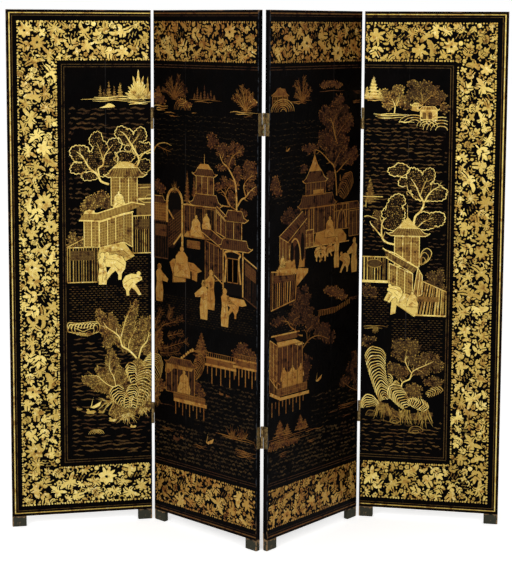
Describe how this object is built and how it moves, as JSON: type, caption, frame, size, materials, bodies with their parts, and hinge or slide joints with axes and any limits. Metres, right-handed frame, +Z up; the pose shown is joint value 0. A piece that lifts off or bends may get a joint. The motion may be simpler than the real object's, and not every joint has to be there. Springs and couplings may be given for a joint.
{
  "type": "folding screen",
  "caption": "Free-standing folding screen of tall hinged leaves in black lacquer, painted in gilt with a floral border round a garden landscape, standing in a zigzag.",
  "frame": {"origin": "on the floor, at the middle of the rectangle that the standing screen takes up", "axes": "+Z up, +X to the viewer's right along the screen's length, -Y towards the viewer who faces the gilt front"},
  "size_m": [1.739, 0.4017, 1.828],
  "materials": {
    "black_lacquer": "hard black lacquer ground, aged and finely cracked, painted in gilt",
    "lacquered_edge": "thin black lacquer on wood, worn through to brown at the corners and on the feet",
    "frame_wood": "planed softwood",
    "board_wood": "planed softwood",
    "aged_brass": "tarnished brown brass",
    "gilding": "worn gold leaf and gold powder on lacquer"
  },
  "bodies": {
    "panel_1": {"leaf_1_left_stile": "lacquered_edge", "leaf_1_right_stile": "lacquered_edge", "leaf_1_top_rail": "frame_wood", "leaf_1_bottom_rail": "frame_wood", "leaf_1_wide_board": "board_wood", "leaf_1_narrow_board": "board_wood", "leaf_1_front_lacquer": "black_lacquer", "leaf_1_back_lacquer": "black_lacquer", "leaf_1_hinge_screws": "aged_brass", "hinge_12_lower_left_plate": "aged_brass", "hinge_12_lower_pin": "aged_brass", "hinge_12_upper_left_plate": "aged_brass", "hinge_12_upper_pin": "aged_brass"},
    "panel_2": {"leaf_2_left_stile": "lacquered_edge", "leaf_2_right_stile": "lacquered_edge", "leaf_2_top_rail": "frame_wood", "leaf_2_bottom_rail": "frame_wood", "leaf_2_wide_board": "board_wood", "leaf_2_narrow_board": "board_wood", "leaf_2_front_lacquer": "black_lacquer", "leaf_2_back_lacquer": "black_lacquer", "leaf_2_hinge_screws": "aged_brass", "hinge_12_lower_right_plate": "aged_brass", "hinge_12_upper_right_plate": "aged_brass", "hinge_23_lower_left_plate": "aged_brass", "hinge_23_lower_pin": "aged_brass", "hinge_23_upper_left_plate": "aged_brass", "hinge_23_upper_pin": "aged_brass"},
    "panel_3": {"leaf_3_left_stile": "lacquered_edge", "leaf_3_right_stile": "lacquered_edge", "leaf_3_top_rail": "frame_wood", "leaf_3_bottom_rail": "frame_wood", "leaf_3_wide_board": "board_wood", "leaf_3_narrow_board": "board_wood", "leaf_3_front_lacquer": "black_lacquer", "leaf_3_back_lacquer": "black_lacquer", "leaf_3_hinge_screws": "aged_brass", "hinge_23_lower_right_plate": "aged_brass", "hinge_23_upper_right_plate": "aged_brass", "hinge_34_lower_left_plate": "aged_brass", "hinge_34_lower_pin": "aged_brass", "hinge_34_upper_left_plate": "aged_brass", "hinge_34_upper_pin": "aged_brass"},
    "panel_4": {"leaf_4_left_stile": "lacquered_edge", "leaf_4_right_stile": "lacquered_edge", "leaf_4_top_rail": "frame_wood", "leaf_4_bottom_rail": "frame_wood", "leaf_4_wide_board": "board_wood", "leaf_4_narrow_board": "board_wood", "leaf_4_front_lacquer": "black_lacquer", "leaf_4_back_lacquer": "black_lacquer", "leaf_4_hinge_screws": "aged_brass", "hinge_34_lower_right_plate": "aged_brass", "hinge_34_upper_right_plate": "aged_brass"}
  },
  "joints": [
    {"name": "fold_12", "type": "hinge", "parent": "panel_2", "child": "panel_1", "pos_m": [-0.37175, 0.13934, 0.933], "axis": [0, 0, 1], "range_deg": [-54.5, 125.5]},
    {"name": "fold_23", "type": "hinge", "parent": "panel_2", "child": "panel_3", "pos_m": [0.01743, -0.18584, 0.933], "axis": [0, 0, 1], "range_deg": [-92, 88]},
    {"name": "fold_34", "type": "hinge", "parent": "panel_3", "child": "panel_4", "pos_m": [0.37049, 0.17824, 0.933], "axis": [0, 0, 1], "range_deg": [-120.5, 59.5]}
  ]
}
